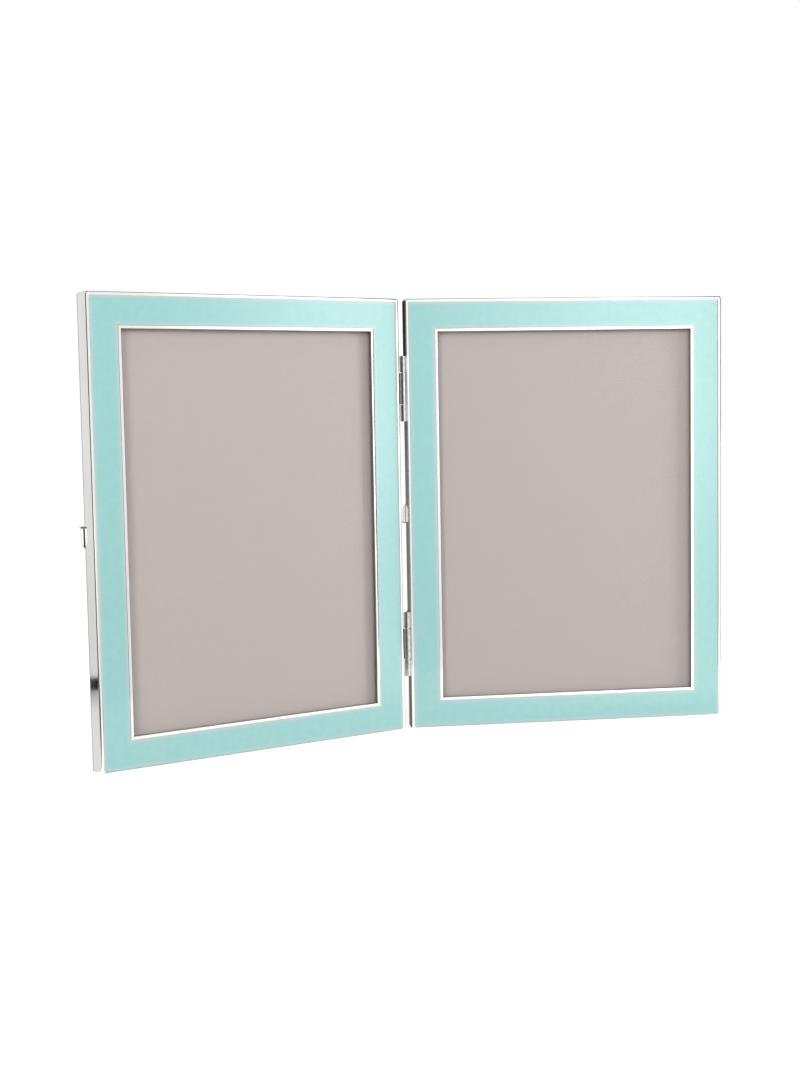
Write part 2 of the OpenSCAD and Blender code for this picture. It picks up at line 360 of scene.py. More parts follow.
# Each shell is one sheet of metal, pressed into a frame with a tray for the enamel
# and a window, then silver plated and polished. Its side walls run to the back.
silver_white = (0.95, 0.945, 0.93, 1)
silver_warm = (0.9, 0.89, 0.86, 1)
# Painted shade: the next colour and two sizes paint a dark shadow line just in front of the rear
# edge of the side walls.
silver_painted_shade = (0.12, 0.115, 0.105, 1)
painted_shade_from_rear = 0.0012
painted_shade_soft = 0.0003
# The window's cut edge and the plate's rear are unpolished metal, and their colour is darkened
# with painted shade for the window's recess.
silver_cut_painted_shade = (0.25, 0.245, 0.235, 1)
cut_edge_soft = 0.0001
handled_per_m = 45
handled_range = (0.35, 0.7)
hairlines_per_m = 9000
hairline_stretch = 0.01
hairline_depth = 0.0000004
polished_roughness = 0.07
handled_roughness = 0.05
unpolished_roughness = 0.3
outer_edge_r = 0.0006
outline_corner_r = 0.001
window_edge_r = 0.0003
tray_edge_r = 0.00012
rear_edge_r = 0.00015
sharp_corner_r = 0.00005
rim_crown = 0.00003
card_lap = 0.0025
corner_steps = 6
arc_steps = 6
rounding_steps = 3
smooth_below = math.radians(35)

frame_fold = next(j for j in frame["joints"] if j["name"] == "frame_fold")
hinge_axis = Vector(frame_fold["pos_m"]).to_2d().to_3d()
half_turn = -math.radians(frame_fold["range_deg"][0]) / 2
about_hinge = Matrix.Translation(hinge_axis) @ Matrix.Rotation(-half_turn, 4, "Z")


def drawn_box(node, placed_by=about_hinge):
    """A right-hand node's lowest and highest corners before it was turned and moved."""
    unturned = placed_by.inverted()
    points = [unturned @ v.co for v in frame["nodes"][node].data.vertices]
    return [Vector(pick(p[i] for p in points) for i in range(3)) for pick in (min, max)]


# A frame is drawn with its hinge side at x = 0, its front at y = 0 and its foot at
# z = 0. The left frame is the mirror image of the right one.
stand_right = about_hinge @ Matrix.Translation(drawn_box("shell_right")[0])
standing = {"right": stand_right, "left": Matrix.Scale(-1, 4, (1, 0, 0)) @ stand_right}

frame_w, shell_depth, frame_h = drawn_box("shell_right", stand_right)[1]
outer_rim_w, enamel_drop, _ = drawn_box("enamel_right", stand_right)[0]
tray_depth = drawn_box("enamel_right", stand_right)[1].y
wall_t = drawn_box("core_right", stand_right)[0].x
glass_low, glass_high = drawn_box("glass_right", stand_right)
plate_t = glass_low.y
border_w = glass_low.x + card_lap
inner_rim_start = border_w - outer_rim_w


def bend(centre_inset, centre_depth, radius, start_deg):
    """A quarter round in the profile, as insets from the outer side and depths."""
    angles = [math.radians(start_deg + 90 * i / arc_steps) for i in range(arc_steps + 1)]
    return [(centre_inset + radius * math.cos(a), centre_depth + radius * math.sin(a))
            for a in angles]


def corner_ring(inset, depth, corner_r):
    """One turn round the frame at an inset and a depth, with rounded corners."""
    ring = []
    for corner, (sx, sz) in enumerate(((1, 1), (-1, 1), (-1, -1), (1, -1))):
        centre_x = frame_w / 2 + sx * (frame_w / 2 - inset - corner_r)
        centre_z = frame_h / 2 + sz * (frame_h / 2 - inset - corner_r)
        for step in range(corner_steps + 1):
            angle = math.radians(90 * (corner + step / corner_steps))
            ring.append((centre_x + corner_r * math.cos(angle), depth,
                         centre_z + corner_r * math.sin(angle)))
    return ring


def lofted(rings, closed=True):
    """A skin over rings with the same number of points, capped where it isn't closed."""
    bm = bmesh.new()
    rows = [[bm.verts.new(point) for point in ring] for ring in rings]
    pairs = list(zip(rows, rows[1:]))
    if closed:
        pairs.append((rows[-1], rows[0]))
    else:
        bm.faces.new(rows[0])
        bm.faces.new(rows[-1])
    for near, far in pairs:
        for i, point in enumerate(near):
            after = (i + 1) % len(near)
            bm.faces.new((point, near[after], far[after], far[i]))
    return bm


def face_outwards(bm):
    """Turns each closed skin of a piece so that it encloses a positive volume."""
    bmesh.ops.recalc_face_normals(bm, faces=bm.faces)
    left = set(bm.faces)
    while left:
        skin, reached = [], [left.pop()]
        while reached:
            face = reached.pop()
            skin.append(face)
            for edge in face.edges:
                for beside in edge.link_faces:
                    if beside in left:
                        left.remove(beside)
                        reached.append(beside)
        if sum(f.calc_area() * f.normal.dot(f.verts[0].co) for f in skin) < 0:
            bmesh.ops.reverse_faces(bm, faces=skin)


def set_in_place(name, bm, side, body, material, node, bevel=0.0):
    """Turns a drawn piece into its place on one side, and hands it to its body."""
    drawn = bm.verts.layers.float_vector.new("drawn")
    for v in bm.verts:
        v[drawn] = v.co
    bm.transform(standing[side])
    face_outwards(bm)
    mesh = bpy.data.meshes.new(name)
    bm.to_mesh(mesh)
    bm.free()
    mesh.shade_smooth()
    mesh.materials.append(material)
    piece = bpy.data.objects.new(name, mesh)
    bpy.context.scene.collection.objects.link(piece)
    if bevel:
        rounding = piece.modifiers.new("rounding", "BEVEL")
        rounding.width = bevel
        rounding.segments = rounding_steps
    else:
        mesh.set_sharp_from_angle(angle=smooth_below)
    shading = piece.modifiers.new("shading", "WEIGHTED_NORMAL")
    shading.keep_sharp = True
    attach(piece, body)
    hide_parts(node)


def finish(name, fixed, varied):
    """A material. The fixed sockets of its shader are set, and the varied ones linked."""
    material = bpy.data.materials.new(name)
    material.use_nodes = True
    tree = material.node_tree
    shader = tree.nodes["Principled BSDF"]
    for key, value in fixed.items():
        shader.inputs[key].default_value = value
    for key, value in varied(Socket(tree)).items():
        tree.links.new(value.out, shader.inputs[key])
    return material


def drawn_place(start):
    """Coordinates in the frame as it was drawn, so that a pattern follows its edges."""
    return start.node("ShaderNodeAttribute", {"attribute_name": "drawn"}, {}, "Vector")


def grain(place, per_metre, detail, stretch=(1, 1, 1)):
    """Noise with so many cells to the metre, drawn out where a stretch is below 1."""
    laid = place.node("ShaderNodeMapping", {}, {"Vector": place, "Scale": stretch})
    return place.node("ShaderNodeTexNoise", {},
                      {"Vector": laid, "Scale": per_metre, "Detail": detail})


def raised(height, depth_m, strength=1.0):
    """A bump of so many metres where the height goes from 0 to 1."""
    return height.node("ShaderNodeBump", {},
                       {"Height": height, "Distance": depth_m, "Strength": strength})


def inset_from_outline(place):
    """How far a drawn place lies in from the nearest side of its frame."""
    across = place.math("MINIMUM", place.part(0), frame_w - place.part(0))
    along = place.math("MINIMUM", place.part(2), frame_h - place.part(2))
    return place.math("MINIMUM", across, along)


def polished_silver(start):
    """Bright plate. The window's cut edge and the plate's rear stay unpolished, and
    their dark colour is painted shade. A dark line of painted shadow sits where the side walls
    meet the back."""
    place = drawn_place(start)
    depth = place.part(1)
    handled = grain(place, handled_per_m, 4).smooth(*handled_range)
    hairlines = (grain(place, hairlines_per_m, 1, (1, 1, hairline_stretch))
                 + grain(place, hairlines_per_m, 1, (hairline_stretch, 1, 1)))
    from_rear = shell_depth - depth
    # Painted shade: a soft dark line just in front of the rear edge, where the wall turns in.
    painted_shade_line = (from_rear.smooth(0.0, painted_shade_soft)
                 * from_rear.smooth(painted_shade_from_rear - painted_shade_soft, painted_shade_from_rear, 1.0, 0.0))
    inset = inset_from_outline(place)
    cut = (inset.smooth(border_w - 2 * cut_edge_soft, border_w - cut_edge_soft)
           * depth.smooth(window_edge_r, window_edge_r + cut_edge_soft))
    plate_rear = (inset.smooth(wall_t, wall_t + cut_edge_soft)
                  * depth.smooth(plate_t - cut_edge_soft, plate_t))
    before_contents = depth.smooth(plate_t, plate_t + cut_edge_soft, 1.0, 0.0)
    # The cut edge and the plate's rear are rougher because they are unpolished, and their dark
    # colour is painted shade.
    unpolished_and_shaded = cut.math("MAXIMUM", cut, plate_rear) * before_contents
    clean = handled.blend(silver_white, silver_warm)
    return {
        "Base Color": unpolished_and_shaded.blend(painted_shade_line.blend(clean, silver_painted_shade), silver_cut_painted_shade),
        "Roughness": (polished_roughness + handled * handled_roughness
                      + unpolished_and_shaded * unpolished_roughness),
        "Normal": raised(hairlines, hairline_depth),
    }


silver = finish("silver_plate", {"Metallic": 1.0}, polished_silver)

outside = [(inset, depth, max(outline_corner_r - inset, sharp_corner_r))
           for inset, depth in bend(outer_edge_r, outer_edge_r, outer_edge_r, 180)]
outer_rim = [
    ((outer_edge_r + outer_rim_w) / 2, 0.0, outer_edge_r),
    (outer_rim_w - tray_edge_r, rim_crown, outer_edge_r),
    (outer_rim_w, rim_crown + tray_edge_r, outer_edge_r),
    (outer_rim_w, tray_depth, outer_edge_r),
]
inner_rim = [
    (inner_rim_start, tray_depth, sharp_corner_r),
    (inner_rim_start, rim_crown + tray_edge_r, sharp_corner_r),
    (inner_rim_start + tray_edge_r, rim_crown, sharp_corner_r),
    ((inner_rim_start + border_w) / 2, 0.0, sharp_corner_r),
]
window = [(inset, depth, sharp_corner_r)
          for inset, depth in bend(border_w - window_edge_r, window_edge_r, window_edge_r, 270)]
inside = [
    (border_w, plate_t, sharp_corner_r),
    (wall_t, plate_t, sharp_corner_r),
    (wall_t, shell_depth - rear_edge_r, sharp_corner_r),
    (wall_t - rear_edge_r, shell_depth, sharp_corner_r),
]
rear = [(inset, depth, max(outline_corner_r - inset, sharp_corner_r))
        for inset, depth in bend(outer_edge_r, shell_depth - outer_edge_r, outer_edge_r, 90)]
shell_profile = outside + outer_rim + inner_rim + window + inside + rear

for side in ("right", "left"):
    shell = lofted([corner_ring(*point) for point in shell_profile])
    set_in_place("shell_skin_" + side, shell, side, "frame_" + side, silver,
                 "shell_" + side)


# The enamel is poured into the tray and fired. It dips and pales towards the rims,
# and its surface is glossy and very slightly wavy.
enamel_aqua = (0.266, 0.588, 0.565, 1)
enamel_pale = (0.286, 0.608, 0.585, 1)
enamel_at_rim = (0.42, 0.588, 0.575, 1)
pale_edge_w = 0.0022
mottle_per_m = 260
mottle_range = (0.3, 0.7)
waves_per_m = 55
ripples_per_m = 1300
ripple_share = 0.02
wave_depth = 0.00001
enamel_gap = 0.00001
enamel_dip_w = 0.0008
enamel_dip = 0.00006
enamel_dip_steps = 8
enamel_crown = 0.00002


def fired_enamel(start):
    place = drawn_place(start)
    mottle = grain(place, mottle_per_m, 5).smooth(*mottle_range)
    inset = inset_from_outline(place)
    from_rim = inset.math("MINIMUM", inset - outer_rim_w, inner_rim_start - inset)
    body = mottle.blend(enamel_aqua, enamel_pale)
    waves = grain(place, waves_per_m, 1) + grain(place, ripples_per_m, 1) * ripple_share
    return {
        "Base Color": from_rim.smooth(0.0, pale_edge_w).blend(enamel_at_rim, body),
        "Normal": raised(waves, wave_depth),
    }


enamel_finish = finish("fired_enamel",
                       {"Roughness": 0.16, "Specular IOR Level": 0.9, "Coat Weight": 1.0,
                        "Coat Roughness": 0.02, "Coat IOR": 1.65}, fired_enamel)


def enamel_mesh():
    """The band's skin: the sides in the tray, the dips at the rims and the flat top."""
    low = outer_rim_w + enamel_gap
    high = inner_rim_start - enamel_gap
    shares = [i / enamel_dip_steps for i in range(enamel_dip_steps + 1)]
    dips = [(share * enamel_dip_w, enamel_drop + enamel_dip * (1 - share) ** 2)
            for share in shares]
    profile = [(low, tray_depth - enamel_gap)]
    profile += [(low + away, depth) for away, depth in dips]
    profile += [((low + high) / 2, enamel_drop - enamel_crown)]
    profile += [(high - away, depth) for away, depth in reversed(dips)]
    profile += [(high, tray_depth - enamel_gap)]
    return lofted([
        corner_ring(inset, depth, max(outer_rim_w + outer_edge_r - inset, sharp_corner_r))
        for inset, depth in profile])


for side in ("right", "left"):
    set_in_place("enamel_band_" + side, enamel_mesh(), side, "frame_" + side, enamel_finish,
                 "enamel_" + side)


# A pane of float glass lies against the back of the front plate, and behind it the
# plain insert card that a picture takes the place of. Neither is fixed down.
card_low, card_high = drawn_box("card_right", stand_right)
glass_arris = 0.0002
glass_mirror = 0.006
glass_air = Vector((0, 0.00003, 0))
sheet_corner_r = 0.0004
card_mauve = (0.507, 0.448, 0.426, 1)
card_pale = (0.527, 0.468, 0.446, 1)
fibres_per_m = 2600
fibre_stretch = (1, 1, 0.35)
fibre_depth = 0.000012
clouds_per_m = 300
tone_range = (0.3, 0.7)


def flat_sheet(low, high):
    """A flat sheet with rounded corners, its cut edges square."""
    return lofted([corner_ring(low.x, depth, sheet_corner_r) for depth in (low.y, high.y)],
                  closed=False)


def clear_glass(start):
    """Glass as a thin mirror, stronger at a glancing view, and clear from inside."""
    grazing = start.node("ShaderNodeLayerWeight", {}, {"Blend": 0.5}, "Facing")
    from_inside = start.node("ShaderNodeNewGeometry", {}, {}, "Backfacing")
    mirror = glass_mirror + grazing.math("POWER", grazing, 5.0) * (1 - glass_mirror)
    return {"Alpha": mirror * (1 - from_inside)}


def paper_card(start):
    place = drawn_place(start)
    fibres = grain(place, fibres_per_m, 3, fibre_stretch)
    clouds = grain(place, clouds_per_m, 4)
    tone = (fibres * 0.5 + clouds * 0.5).smooth(*tone_range)
    return {"Base Color": tone.blend(card_mauve, card_pale),
            "Normal": raised(fibres, fibre_depth)}


glass_finish = finish("float_glass", {"Metallic": 1.0, "Roughness": 0.0}, clear_glass)
card_finish = finish("mauve_card", {"Roughness": 0.85, "Specular IOR Level": 0.2}, paper_card)

for side in ("right", "left"):
    pane = flat_sheet(glass_low + glass_air, glass_high - glass_air)
    set_in_place("glass_pane_" + side, pane, side, "frame_" + side, glass_finish,
                 "glass_" + side, glass_arris)
    set_in_place("insert_sheet_" + side, flat_sheet(card_low, card_high), side,
                 "frame_" + side, card_finish, "card_" + side)


# Behind the glass everything is board: a ring of fibreboard that fills the shell,
# a grey pad that presses the picture forward, and the lift-out back. The CAD
# solids have the right shape, so they stay and only get their materials.
fibreboard_tan = (0.36, 0.25, 0.15, 1)
fibreboard_pale = (0.46, 0.34, 0.22, 1)
board_fibres_per_m = 1800
board_fibre_stretch = (0.4, 1, 1)
board_fibre_range = (0.35, 0.7)
board_fibre_depth = 0.00005
pad_grey = (0.3, 0.29, 0.27, 1)
pad_fleck = (0.46, 0.45, 0.42, 1)
flecks_per_m = 2400
fleck_range = (0.55, 0.75)
fleck_depth = 0.00003


def raw_fibreboard(start):
    place = start.node("ShaderNodeTexCoord", {}, {}, "Object")
    fibres = grain(place, board_fibres_per_m, 4, board_fibre_stretch)
    pale = fibres.smooth(*board_fibre_range)
    return {"Base Color": pale.blend(fibreboard_tan, fibreboard_pale),
            "Normal": raised(fibres, board_fibre_depth)}


def pulp_board(start):
    place = start.node("ShaderNodeTexCoord", {}, {}, "Object")
    flecks = grain(place, flecks_per_m, 3)
    return {"Base Color": flecks.smooth(*fleck_range).blend(pad_grey, pad_fleck),
            "Normal": raised(flecks, fleck_depth)}


fibreboard = finish("raw_fibreboard", {"Roughness": 0.9}, raw_fibreboard)
pad_board = finish("pulp_board", {"Roughness": 0.95}, pulp_board)
for side in ("right", "left"):
    frame["nodes"]["core_" + side].material_slots[0].material = fibreboard
    frame["nodes"]["back_board_" + side].material_slots[0].material = fibreboard
    frame["nodes"]["filler_" + side].material_slots[0].material = pad_board


# Charcoal velvet is glued over the rear of the core and of the lift-out back. Its
# short pile rounds every cut edge, and lies lighter where a hand has brushed it.
velvet_dark = (0.009, 0.009, 0.011, 1)
velvet_brushed = (0.045, 0.045, 0.052, 1)
velvet_bloom = (0.55, 0.57, 0.65, 1)
tufts_per_m = 3600
tuft_range = (0.35, 0.75)
tuft_share = 0.78
lays_per_m = 55
lay_stretch = (1, 1, 0.7)
lay_range = (0.4, 0.75)
lay_share = 0.22
lay_height = 0.6
pile_depth = 0.00022
pile_edge_r = 0.00035
back_gap = 0.0005


def velvet_pile(start):
    place = drawn_place(start)
    tufts = grain(place, tufts_per_m, 2)
    lay = grain(place, lays_per_m, 3, lay_stretch).smooth(*lay_range)
    shade = lay * lay_share + tufts.smooth(*tuft_range) * tuft_share
    return {"Base Color": shade.blend(velvet_dark, velvet_brushed),
            "Normal": raised(tufts + lay * lay_height, pile_depth, 0.8)}


velvet = finish("charcoal_velvet",
                {"Roughness": 0.95, "Specular IOR Level": 0.15, "Sheen Weight": 0.45,
                 "Sheen Roughness": 0.35, "Sheen Tint": velvet_bloom}, velvet_pile)

pile_low, pile_high = drawn_box("back_velvet_right", stand_right)
ring_low, ring_high = drawn_box("border_velvet_right", stand_right)
opening_inset = pile_low.x - back_gap

over_edge = bend(pile_low.x + pile_edge_r, pile_high.y - pile_edge_r, pile_edge_r, 90)
pad_rings = [corner_ring(pile_low.x, pile_low.y, pile_edge_r)]
pad_rings += [corner_ring(inset, depth, pile_edge_r + inset - pile_low.x)
              for inset, depth in reversed(over_edge)]

at_wall = bend(ring_low.x + pile_edge_r, ring_high.y - pile_edge_r, pile_edge_r, 90)
at_opening = bend(opening_inset - pile_edge_r, ring_high.y - pile_edge_r, pile_edge_r, 0)
band_profile = [(ring_low.x, ring_low.y)]
band_profile += reversed(at_wall)
band_profile += reversed(at_opening)
band_profile += [(opening_inset, ring_low.y)]
band_rings = [corner_ring(inset, depth, sharp_corner_r) for inset, depth in band_profile]

for side in ("right", "left"):
    set_in_place("back_pile_" + side, lofted(pad_rings, closed=False), side, "frame_" + side,
                 velvet, "back_velvet_" + side)
    set_in_place("border_pile_" + side, lofted(band_rings), side, "frame_" + side, velvet,
                 "border_velvet_" + side)


# Two barrel hinges of nickelled steel join the frames. Each leaf is a plate on a
# side wall whose end is rolled into knuckles round a pin, and stays faintly brushed.
nickel_bright = (0.6, 0.6, 0.59, 1)
nickel_dull = (0.48, 0.48, 0.47, 1)
brushing_per_m = 7000
brushing_stretch = (1, 1, 0.03)
brushing_depth = 0.000002
brushed_roughness = 0.1
dull_per_m = 500
dull_range = (0.4, 0.7)
leaf_t = 0.0005
leaf_plate_l = 0.007
leaf_corner_r = 0.0009
end_knuckle_l = 0.00765
mid_knuckle_l = 0.0145
knuckle_gap = 0.0003
barrel_steps = 40
knuckle_edge_r = 0.00014
pin_end_r = 0.0003
bore_clear = 0.00004


def brushed_nickel(start):
    place = drawn_place(start)
    brushing = grain(place, brushing_per_m, 2, brushing_stretch)
    dull = grain(place, dull_per_m, 3).smooth(*dull_range)
    return {"Base Color": dull.blend(nickel_bright, nickel_dull),
            "Roughness": polished_roughness + brushing * brushed_roughness,
            "Normal": raised(brushing, brushing_depth)}


nickel = finish("brushed_nickel", {"Metallic": 1.0}, brushed_nickel)

axis_place = stand_right.inverted() @ hinge_axis
leaf_low, leaf_high = drawn_box("upper_leaf_right", stand_right)
pin_low, pin_high = drawn_box("upper_hinge_pin", stand_right)
knuckle_r = axis_place.y - leaf_low.y
pin_r = (pin_high.x - pin_low.x) / 2
bore_r = pin_r + bore_clear
hinge_l = leaf_high.z - leaf_low.z
plate_start = leaf_high.y - leaf_plate_l
knuckles = {
    "right": [(0, end_knuckle_l), (hinge_l - end_knuckle_l, hinge_l)],
    "left": [(end_knuckle_l + knuckle_gap, end_knuckle_l + knuckle_gap + mid_knuckle_l)],
}
hinge_feet = {"upper": leaf_low.z, "lower": drawn_box("lower_leaf_right", stand_right)[0].z}


def barrel_ring(radius, height):
    return [(axis_place.x + radius * math.cos(math.tau * i / barrel_steps),
             axis_place.y + radius * math.sin(math.tau * i / barrel_steps), height)
            for i in range(barrel_steps)]


def add_skin(bm, other):
    """Puts a second closed skin into the same piece."""
    spare = bpy.data.meshes.new("spare")
    other.to_mesh(spare)
    other.free()
    bm.from_mesh(spare)
    bpy.data.meshes.remove(spare)


def extruded(outline, shift):
    """A solid whose two ends have the outline, the second one moved by the shift."""
    return lofted([outline, [tuple(Vector(point) + shift) for point in outline]], closed=False)


def leaf_mesh(foot, spans):
    """A leaf's plate with two round corners, and a strap and a knuckle for each span."""
    thickness = Vector((leaf_t, 0, 0))
    outline = [(-leaf_t, plate_start, foot)]
    for corner_z, start_deg in ((leaf_corner_r, 270), (hinge_l - leaf_corner_r, 0)):
        outline += [(-leaf_t, y, z) for y, z in bend(
            leaf_high.y - leaf_corner_r, foot + corner_z, leaf_corner_r, start_deg)]
    outline.append((-leaf_t, plate_start, foot + hinge_l))
    leaf = extruded(outline, thickness)
    for low, high in spans:
        ends = (foot + low, foot + high)
        strap = [(-leaf_t, y, z) for y, z in ((axis_place.y, ends[0]), (plate_start, ends[0]),
                                              (plate_start, ends[1]), (axis_place.y, ends[1]))]
        add_skin(leaf, extruded(strap, thickness))
        add_skin(leaf, lofted([barrel_ring(bore_r, ends[0]), barrel_ring(knuckle_r, ends[0]),
                               barrel_ring(knuckle_r, ends[1]), barrel_ring(bore_r, ends[1])]))
    return leaf


def pin_mesh(foot):
    head = foot + hinge_l
    return lofted([barrel_ring(pin_r - pin_end_r, foot), barrel_ring(pin_r, foot + pin_end_r),
                   barrel_ring(pin_r, head - pin_end_r), barrel_ring(pin_r - pin_end_r, head)],
                  closed=False)


for level, foot in hinge_feet.items():
    for side in ("right", "left"):
        set_in_place(f"{level}_hinge_leaf_{side}", leaf_mesh(foot, knuckles[side]), side,
                     "frame_" + side, nickel, f"{level}_leaf_{side}",
                     knuckle_edge_r)
    set_in_place(level + "_pin", pin_mesh(foot), "right", "frame_right", silver,
                 level + "_hinge_pin")


# Domed rivets hold the leaves to the side walls, two to a leaf. One geometry tree
# forms the head and its shank, and sets a copy on each rivet's place.
rivet_head_d = 0.0024
rivet_head_h = 0.0004
rivet_rim_h = 0.00012
rivet_shank_d = 0.0012
rivet_shank_l = 0.0038
rivet_from_end = end_knuckle_l / 2
rivet_spin = 1
head_sides = 40
dome_rings = 6


def fastener_tree(name, labels, build, material):
    """A geometry tree with named sizes. Its build function gives the one fastener,
    and the tree sets a copy of it on every point, turned to the given angles."""
    tree = bpy.data.node_groups.new(name, "GeometryNodeTree")
    tree.interface.new_socket("Places", in_out="INPUT", socket_type="NodeSocketGeometry")
    tree.interface.new_socket("Turn", in_out="INPUT", socket_type="NodeSocketVector")
    for label in labels:
        tree.interface.new_socket(label, in_out="INPUT", socket_type="NodeSocketFloat")
    tree.interface.new_socket("Spin Seed", in_out="INPUT", socket_type="NodeSocketInt")
    tree.interface.new_socket("Fasteners", in_out="OUTPUT", socket_type="NodeSocketGeometry")
    entry = tree.nodes.new("NodeGroupInput")
    given = {socket.name: Socket(tree, socket) for socket in entry.outputs}
    start = Socket(tree)
    placed = start.node("GeometryNodeInstanceOnPoints", {}, {
        "Points": given["Places"], "Instance": build(given), "Rotation": given["Turn"]})
    spin = start.node("FunctionNodeRandomValue", {"data_type": "FLOAT_VECTOR"},
                      {0: (0, 0, 0), 1: (0, 0, math.pi), "Seed": given["Spin Seed"]})
    turned = start.node("GeometryNodeRotateInstances", {}, {"Instances": placed, "Rotation": spin})
    real = start.node("GeometryNodeRealizeInstances", {}, {"Geometry": turned})
    painted = start.node("GeometryNodeSetMaterial", {}, {"Geometry": real, "Material": material})
    leave = tree.nodes.new("NodeGroupOutput")
    tree.links.new(painted.out, leave.inputs["Fasteners"])
    return tree


def joined(first, second):
    both = first.node("GeometryNodeJoinGeometry", {}, {"Geometry": first})
    first.tree.links.new(second.out, both.out.node.inputs["Geometry"])
    return both


def domed_head(given):
    """A round head on the plane z = 0, domed on top, with its shank below it."""
    radius = given["Head Width"] * 0.5
    blank = radius.node("GeometryNodeMeshCylinder", {"fill_type": "TRIANGLE_FAN"},
                        {"Vertices": head_sides, "Fill Segments": dome_rings, "Radius": radius,
                         "Depth": given["Rim Height"]})
    place = radius.node("GeometryNodeInputPosition")
    across = place.part(0) * place.part(0) + place.part(1) * place.part(1)
    fall = across.math("DIVIDE", across, radius * radius)
    dome = (given["Head Height"] - given["Rim Height"]) * (1 - fall)
    on_top = place.part(2).math("GREATER_THAN", place.part(2), 0.0)
    lift = radius.node("ShaderNodeCombineXYZ", {}, {"Z": dome})
    domed = radius.node("GeometryNodeSetPosition", {},
                        {"Geometry": blank, "Selection": on_top, "Offset": lift})
    head = moved(domed, given["Rim Height"] * 0.5)
    shank = radius.node("GeometryNodeMeshCylinder", {},
                        {"Vertices": head_sides, "Radius": given["Shank Width"] * 0.5,
                         "Depth": given["Shank Length"]})
    return joined(head, moved(shank, given["Shank Length"] * -0.5))


def moved(shape, height):
    up = shape.node("ShaderNodeCombineXYZ", {}, {"Z": height})
    return shape.node("GeometryNodeTransform", {}, {"Geometry": shape, "Translation": up})


def grown(tree, places, settings):
    """The plain mesh that a fastener tree makes on a list of places."""
    mesh = bpy.data.meshes.new(tree.name)
    mesh.from_pydata(places, [], [])
    seat = bpy.data.objects.new(tree.name, mesh)
    bpy.context.scene.collection.objects.link(seat)
    growth = seat.modifiers.new("growth", "NODES")
    growth.node_group = tree
    for item in tree.interface.items_tree:
        if item.in_out == "INPUT" and item.name in settings:
            growth[item.identifier] = settings[item.name]
    seat.update_tag()
    evaluated = seat.evaluated_get(bpy.context.evaluated_depsgraph_get())
    made = bpy.data.meshes.new_from_object(evaluated)
    seat.modifiers.remove(growth)
    bpy.data.objects.remove(seat)
    bm = bmesh.new()
    bm.from_mesh(made)
    return bm


rivet_tree = fastener_tree(
    "leaf_rivets", ["Head Width", "Head Height", "Rim Height", "Shank Width", "Shank Length"],
    domed_head, silver)
rivet_places = [(-leaf_t, plate_start + leaf_plate_l / 2, foot + along)
                for foot in hinge_feet.values()
                for along in (rivet_from_end, hinge_l - rivet_from_end)]
rivet_sizes = {
    "Turn": (0, -math.pi / 2, 0), "Head Width": rivet_head_d, "Head Height": rivet_head_h,
    "Rim Height": rivet_rim_h, "Shank Width": rivet_shank_d, "Shank Length": rivet_shank_l,
    "Spin Seed": rivet_spin}
for side in ("right", "left"):
    set_in_place("rivet_heads_" + side, grown(rivet_tree, rivet_places, rivet_sizes), side,
                 "frame_" + side, silver, "leaf_rivets_" + side)


# Four turn clips hold the backs in, one at each side of a frame. Each is cut from
# plated sheet with a round heel that overhangs the side, and its lip is bent up.
clip_t = 0.0008
clip_arm_l = 0.014
clip_half_w = 0.0036
clip_heel_l = 0.0068
clip_heel_r = 0.0045
clip_lip_l = 0.005
clip_bend_r = 0.0003
clip_relief = 0.0003
clip_edge_r = 0.00013
clip_arc_steps = 18
same_place = 0.000001
clip_low, clip_high = drawn_box("inner_clip_right", stand_right)
clip_turn = next(j for j in frame["joints"] if j["name"] == "inner_clip_right_turn")
clip_pivot = stand_right.inverted() @ Vector(clip_turn["pos_m"])
clip_heel_x = clip_pivot.x - clip_low.x
clip_lip_top = clip_high.y - clip_low.y
lip_root = clip_t + clip_bend_r


def arc(centre, radius, start_deg, end_deg):
    """Points of a round end in the clip's own plane."""
    angles = [math.radians(start_deg + (end_deg - start_deg) * i / clip_arc_steps)
              for i in range(clip_arc_steps + 1)]
    return [(centre[0] + radius * math.cos(a), centre[1] + radius * math.sin(a)) for a in angles]


def clip_mesh():
    """A clip with its pivot at the origin, its arm along -X and its round heel along +Z."""
    heel_centre = (clip_heel_x - clip_heel_r, clip_heel_l - clip_heel_r)
    rise = math.degrees(math.asin((clip_half_w - heel_centre[1]) / clip_heel_r))
    lip_x = clip_heel_x - clip_lip_l
    outline = arc((clip_half_w - clip_arm_l, 0), clip_half_w, 90, 270)
    outline += [(lip_x - clip_relief, -clip_half_w), (lip_x - clip_relief, lip_root - clip_half_w),
                (lip_x, lip_root - clip_half_w), (clip_heel_x, lip_root - clip_half_w)]
    outline += arc(heel_centre, clip_heel_r, 0, 180 - rise)
    bm = lofted([[(x, depth, z) for x, z in outline] for depth in (0, clip_t)], closed=False)
    centre = Vector((lip_root, lip_root - clip_half_w))
    bent = []
    for i in range(arc_steps + 1):
        angle = math.radians(90 * i / arc_steps)
        away = Vector((math.cos(angle), math.sin(angle)))
        bent.append((centre - away * lip_root, centre - away * clip_bend_r))
    bent.append((Vector((clip_lip_top, -clip_half_w)),
                 Vector((clip_lip_top, clip_t - clip_half_w))))
    rings = [[(x, depth, z) for x, (depth, z) in
              ((lip_x, outer), (clip_heel_x, outer), (clip_heel_x, inner), (lip_x, inner))]
             for outer, inner in bent]
    add_skin(bm, lofted(rings, closed=False))
    bmesh.ops.remove_doubles(bm, verts=bm.verts, dist=same_place)
    where_joined = [face for face in bm.faces if len(face.verts) == 4
                    and all(abs(v.co.z - centre.y) < same_place and v.co.x > lip_x - same_place
                            for v in face.verts)]
    bmesh.ops.delete(bm, geom=where_joined, context="FACES_ONLY")
    return bm


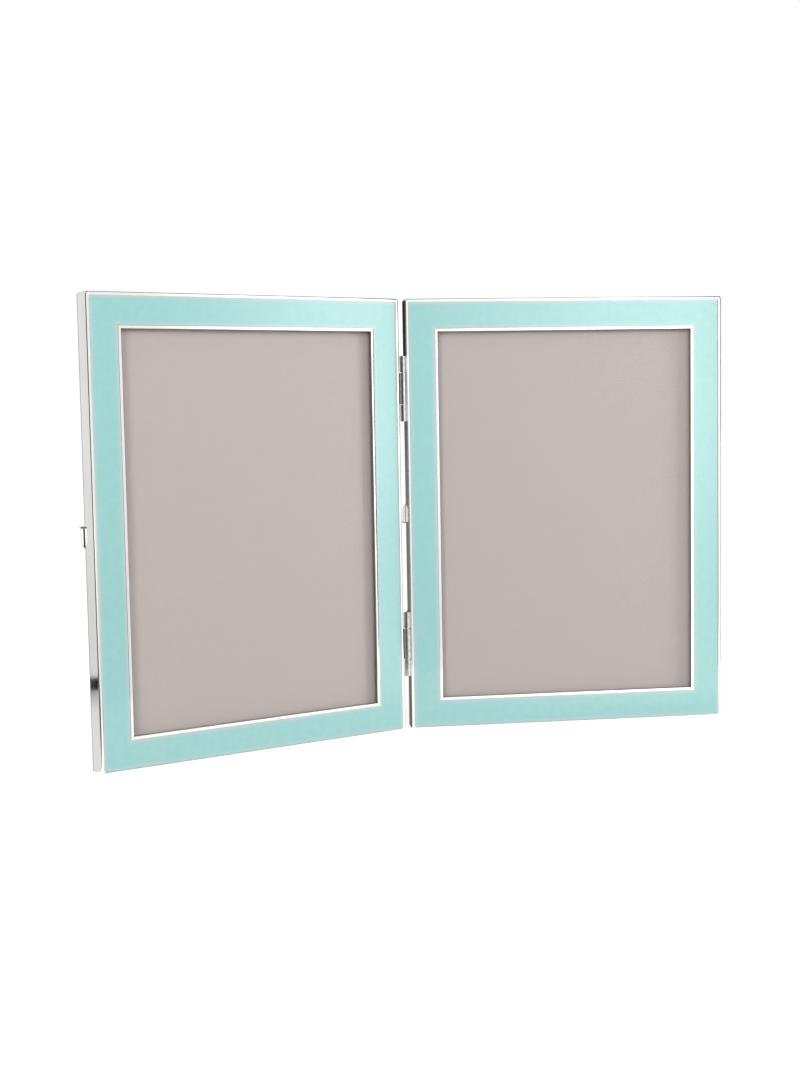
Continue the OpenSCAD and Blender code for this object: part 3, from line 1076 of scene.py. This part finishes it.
for side in ("right", "left"):
    inner_clip = clip_mesh()
    inner_clip.transform(Matrix.Translation((clip_pivot.x, clip_low.y, clip_pivot.z))
                         @ Matrix.Scale(-1, 4, (1, 0, 0)))
    set_in_place("inner_turn_clip_" + side, inner_clip, side, "inner_clip_" + side, silver,
                 "inner_clip_" + side, clip_edge_r)
    outer_clip = clip_mesh()
    outer_clip.transform(Matrix.Translation((frame_w - clip_pivot.x, clip_low.y, clip_pivot.z))
                         @ Matrix.Scale(-1, 4, (0, 0, 1)))
    set_in_place("outer_turn_clip_" + side, outer_clip, side, "outer_clip_" + side, silver,
                 "outer_clip_" + side, clip_edge_r)


# Each clip turns on a slotted wood screw with a domed head, driven into the core.
# The tree takes the rivets' head, cuts the slot and leaves each screw as it was turned.
screw_head_d = 0.005
screw_head_h = 0.0013
screw_rim_h = 0.00052
screw_shank_d = 0.0024
screw_shank_l = 0.0066
screw_slot_w = 0.0008
screw_slot_depth = 0.0006
screw_play = 0.00012
screw_spins = {"right": 3, "left": 4}


def slotted_head(given):
    head = domed_head(given)
    size = head.node("ShaderNodeCombineXYZ", {}, {
        "X": given["Head Width"] * 2.0, "Y": given["Slot Width"], "Z": given["Slot Depth"] * 2.0})
    cutter = moved(head.node("GeometryNodeMeshCube", {}, {"Size": size}), given["Head Height"])
    return head.node("GeometryNodeMeshBoolean", {"operation": "DIFFERENCE"},
                     {"Mesh 1": head, "Mesh 2": cutter})


screw_tree = fastener_tree(
    "clip_screws", ["Head Width", "Head Height", "Rim Height", "Shank Width", "Shank Length",
                    "Slot Width", "Slot Depth"], slotted_head, nickel)
screw_foot = clip_low.y + clip_t + screw_play
screw_places = [(x, screw_foot, clip_pivot.z) for x in (clip_pivot.x, frame_w - clip_pivot.x)]
screw_sizes = {
    "Turn": (-math.pi / 2, 0, 0), "Head Width": screw_head_d, "Head Height": screw_head_h,
    "Rim Height": screw_rim_h, "Shank Width": screw_shank_d, "Shank Length": screw_shank_l,
    "Slot Width": screw_slot_w, "Slot Depth": screw_slot_depth}
for side in ("right", "left"):
    screws = grown(screw_tree, screw_places, screw_sizes | {"Spin Seed": screw_spins[side]})
    set_in_place("turned_screws_" + side, screws, side, "frame_" + side, nickel,
                 "clip_screws_" + side)
